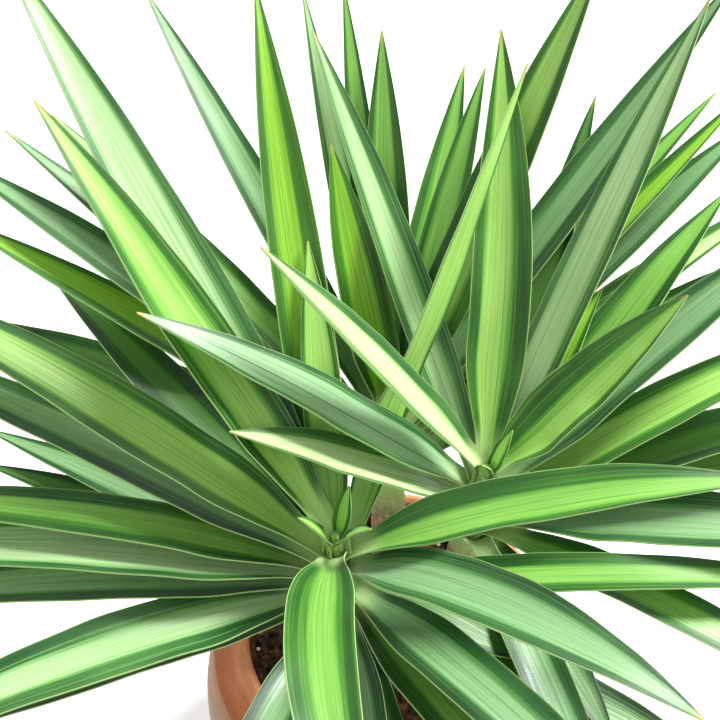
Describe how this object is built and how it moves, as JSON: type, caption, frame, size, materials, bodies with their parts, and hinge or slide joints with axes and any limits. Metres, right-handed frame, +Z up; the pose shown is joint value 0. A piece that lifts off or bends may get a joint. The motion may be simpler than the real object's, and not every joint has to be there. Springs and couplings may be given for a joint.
{
  "type": "potted yucca",
  "caption": "Variegated yucca: crowns of long sword-shaped leaves on short bare canes, standing in soil in a round terracotta pot with a turned-in lip.",
  "frame": {"origin": "centre of the pot's flat underside", "axes": "+Z up along the pot's axis; -Y towards the side with the longest low leaves; +X to the right seen from that side"},
  "size_m": [0.7331, 0.6196, 0.7182],
  "materials": {
    "pot": "matt unglazed terracotta",
    "soil": "loose, dull",
    "cane": "rough bark",
    "leaf": "waxy satin"
  },
  "bodies": {
    "root": {"pot": "pot", "soil": "soil", "back_cane": "cane", "front_cane": "cane", "right_cane": "cane", "back_leaf_01": "leaf", "back_leaf_02": "leaf", "back_leaf_03": "leaf", "back_leaf_04": "leaf", "back_leaf_05": "leaf", "back_leaf_06": "leaf", "back_leaf_07": "leaf", "back_leaf_08": "leaf", "back_leaf_09": "leaf", "back_leaf_10": "leaf", "back_leaf_11": "leaf", "back_leaf_12": "leaf", "back_leaf_13": "leaf", "back_leaf_14": "leaf", "back_leaf_15": "leaf", "back_leaf_16": "leaf", "front_leaf_01": "leaf", "front_leaf_02": "leaf", "front_leaf_03": "leaf", "front_leaf_04": "leaf", "front_leaf_05": "leaf", "front_leaf_06": "leaf", "front_leaf_07": "leaf", "front_leaf_08": "leaf", "front_leaf_09": "leaf", "front_leaf_10": "leaf", "front_leaf_11": "leaf", "front_leaf_12": "leaf", "front_leaf_13": "leaf", "front_leaf_14": "leaf", "front_leaf_15": "leaf", "front_leaf_16": "leaf", "front_leaf_17": "leaf", "front_leaf_18": "leaf", "front_leaf_19": "leaf", "front_leaf_20": "leaf", "front_leaf_21": "leaf", "front_leaf_22": "leaf", "right_leaf_01": "leaf", "right_leaf_02": "leaf", "right_leaf_03": "leaf", "right_leaf_04": "leaf", "right_leaf_05": "leaf", "right_leaf_06": "leaf", "right_leaf_07": "leaf", "right_leaf_08": "leaf", "right_leaf_09": "leaf", "right_leaf_10": "leaf", "right_leaf_11": "leaf", "right_leaf_12": "leaf", "right_leaf_13": "leaf", "right_leaf_14": "leaf", "right_leaf_15": "leaf", "right_leaf_16": "leaf", "right_leaf_17": "leaf"}
  },
  "joints": []
}
